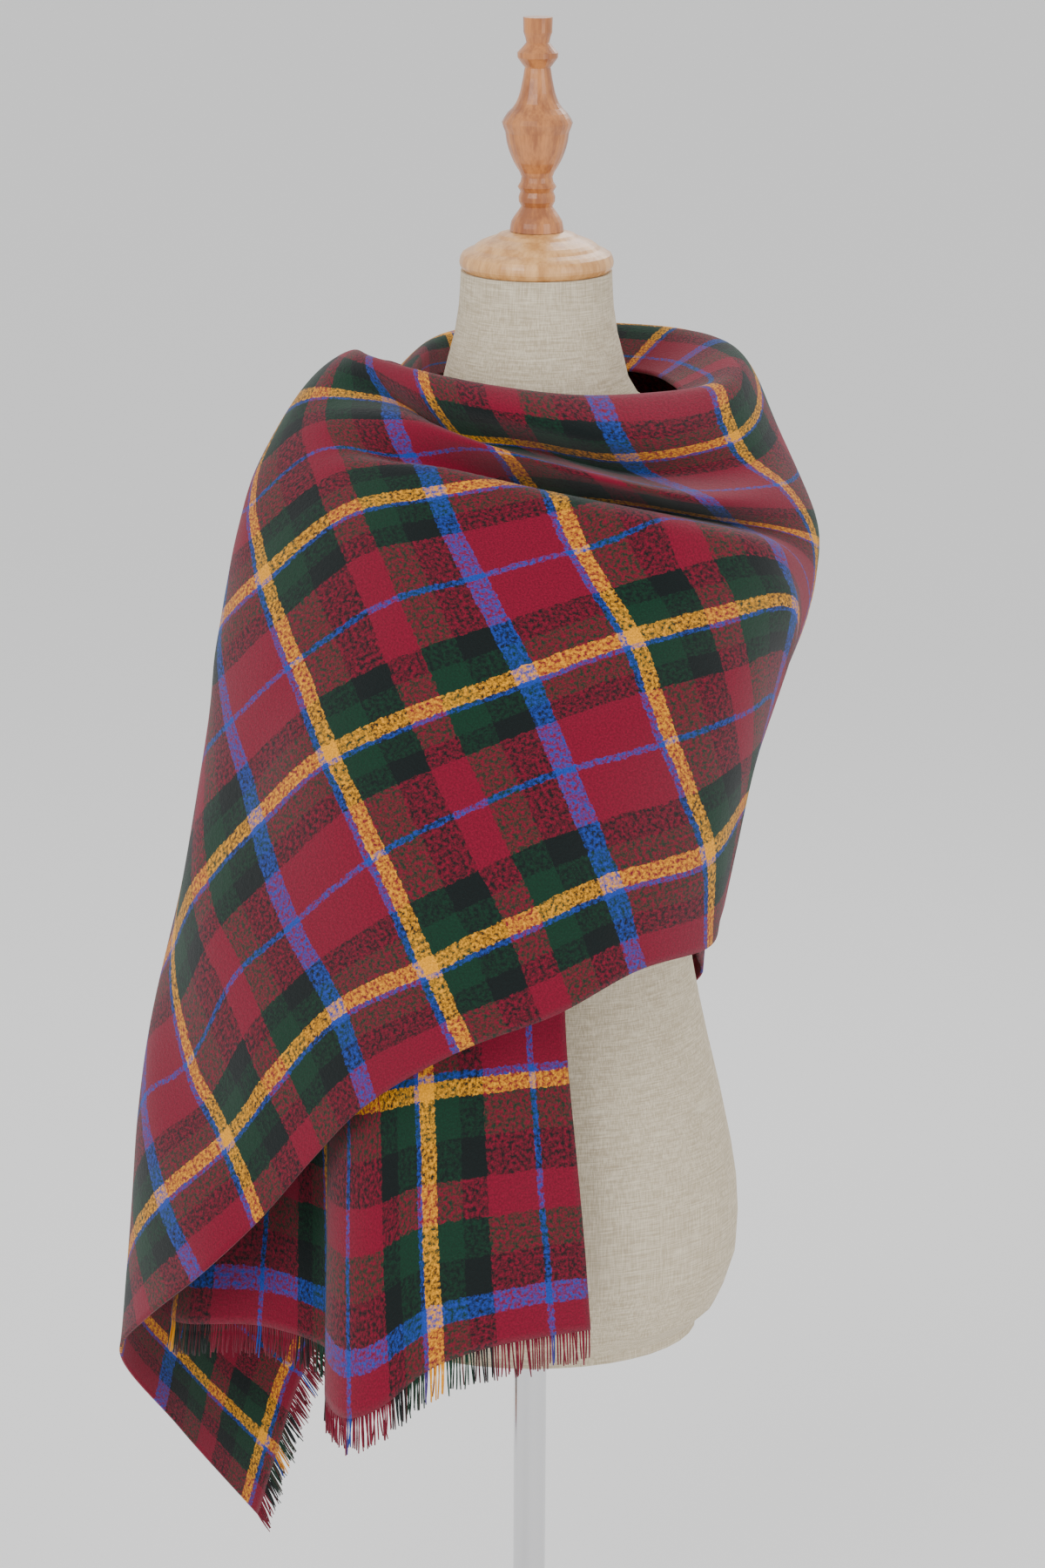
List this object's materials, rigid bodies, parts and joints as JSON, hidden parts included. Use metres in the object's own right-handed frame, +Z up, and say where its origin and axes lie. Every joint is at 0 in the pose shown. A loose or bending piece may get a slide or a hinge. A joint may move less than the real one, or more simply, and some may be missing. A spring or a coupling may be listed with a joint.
{
  "type": "blanket scarf on a limbless dress form",
  "caption": "Brushed-wool tartan blanket scarf wound round a linen dress form with a turned wood finial, on a steel pole with a round base.",
  "frame": {"origin": "middle of the underside of the round base", "axes": "+Z up, the front of the dress form faces -Y, +X is the wearer's left"},
  "size_m": [0.5398, 0.398, 1.578],
  "materials": {
    "steel": "polished",
    "linen": "matte",
    "pale_wood": "satin",
    "warm_wood": "satin",
    "wool": "matte",
    "yarn": "matte"
  },
  "bodies": {
    "root": {"base_plate": "steel", "pole_boss": "steel", "pole": "steel", "torso": "linen", "neck_cap": "pale_wood", "finial": "warm_wood", "hanging_end": "wool", "collar_and_back": "wool", "front_cross": "wool", "thrown_end": "wool", "fringe_front": "yarn", "fringe_tail": "yarn"}
  },
  "joints": []
}
